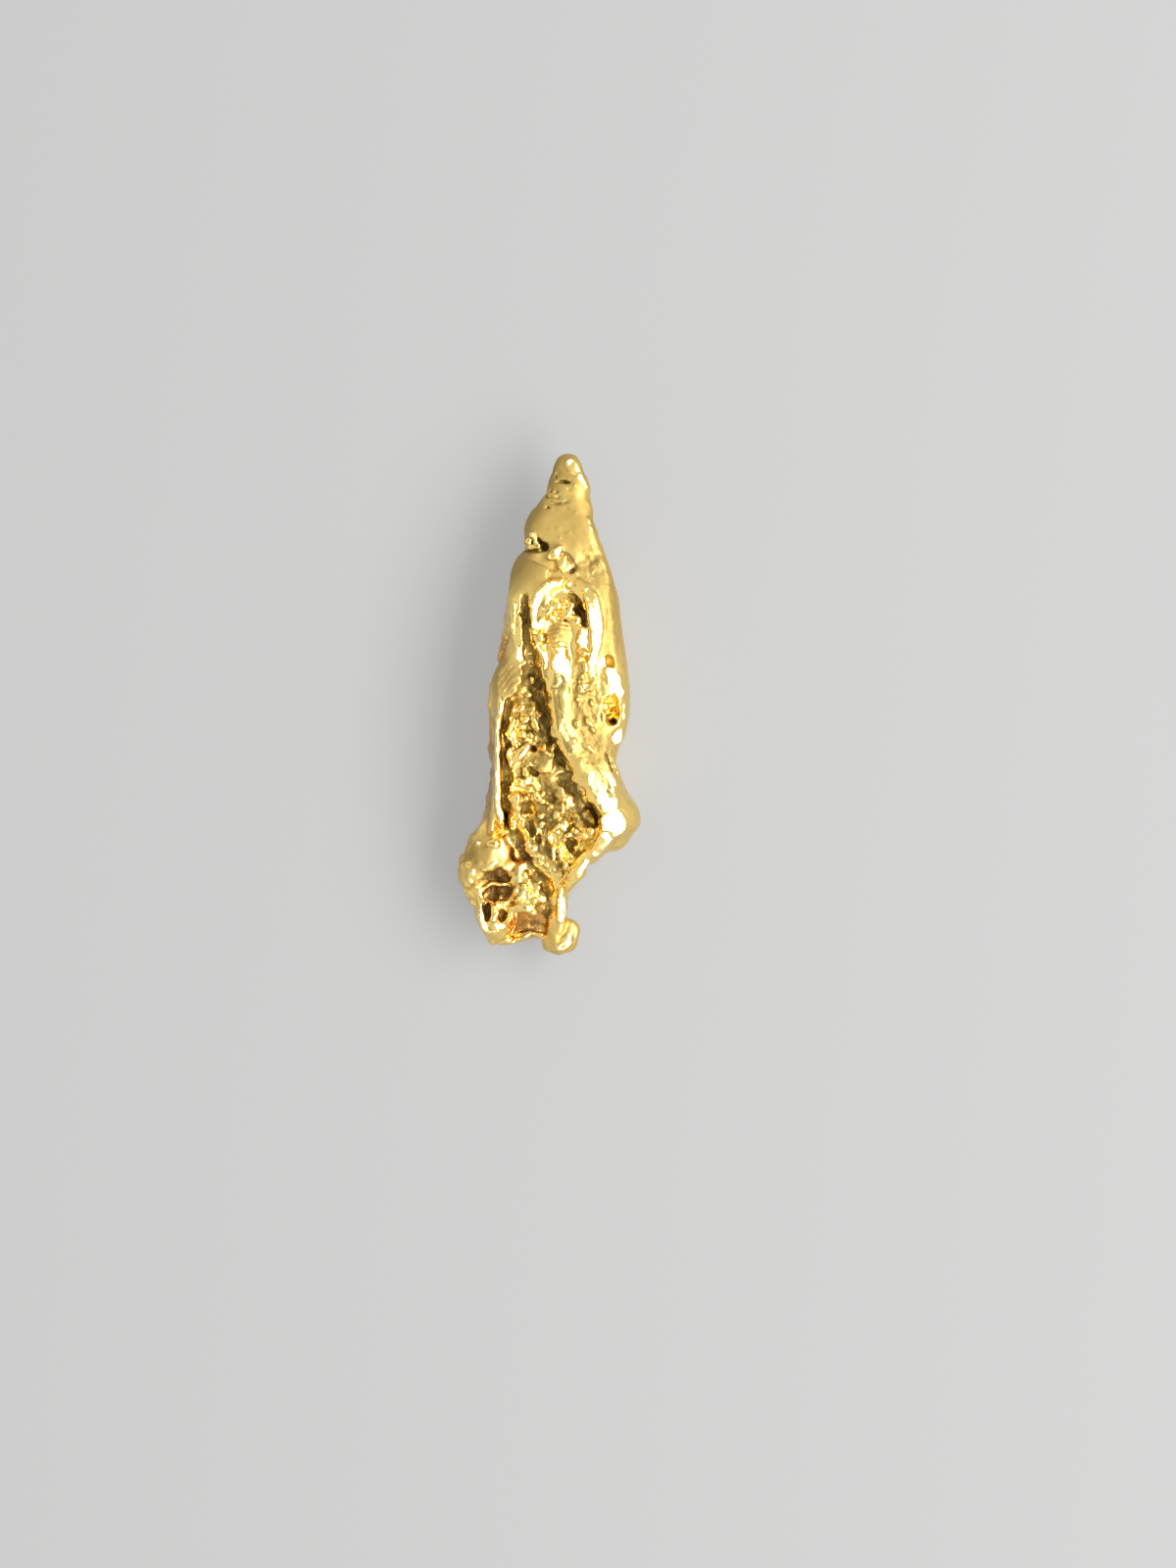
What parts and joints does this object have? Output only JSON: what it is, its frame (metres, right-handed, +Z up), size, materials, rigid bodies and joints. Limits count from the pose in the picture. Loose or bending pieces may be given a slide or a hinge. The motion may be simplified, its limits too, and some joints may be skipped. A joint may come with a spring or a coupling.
{
  "type": "gold nugget",
  "caption": "Small spindle-shaped native gold nugget with a hooded hollow, a long rough recess, a side pocket and a cup-like lobe; lies on a worn flat underside.",
  "frame": {"origin": "middle of the footprint, on the surface the nugget lies on", "axes": "+Y from the foot to the tip along the nugget's length; +Z up from its worn flat underside to the face with the hollows; +X to the right when the face is seen with the tip up"},
  "size_m": [0.0041, 0.0114, 0.0026],
  "materials": {
    "native_gold": "satin to bright natural gold, darker in its hollows"
  },
  "bodies": {
    "root": {"nugget": "native_gold"}
  },
  "joints": []
}
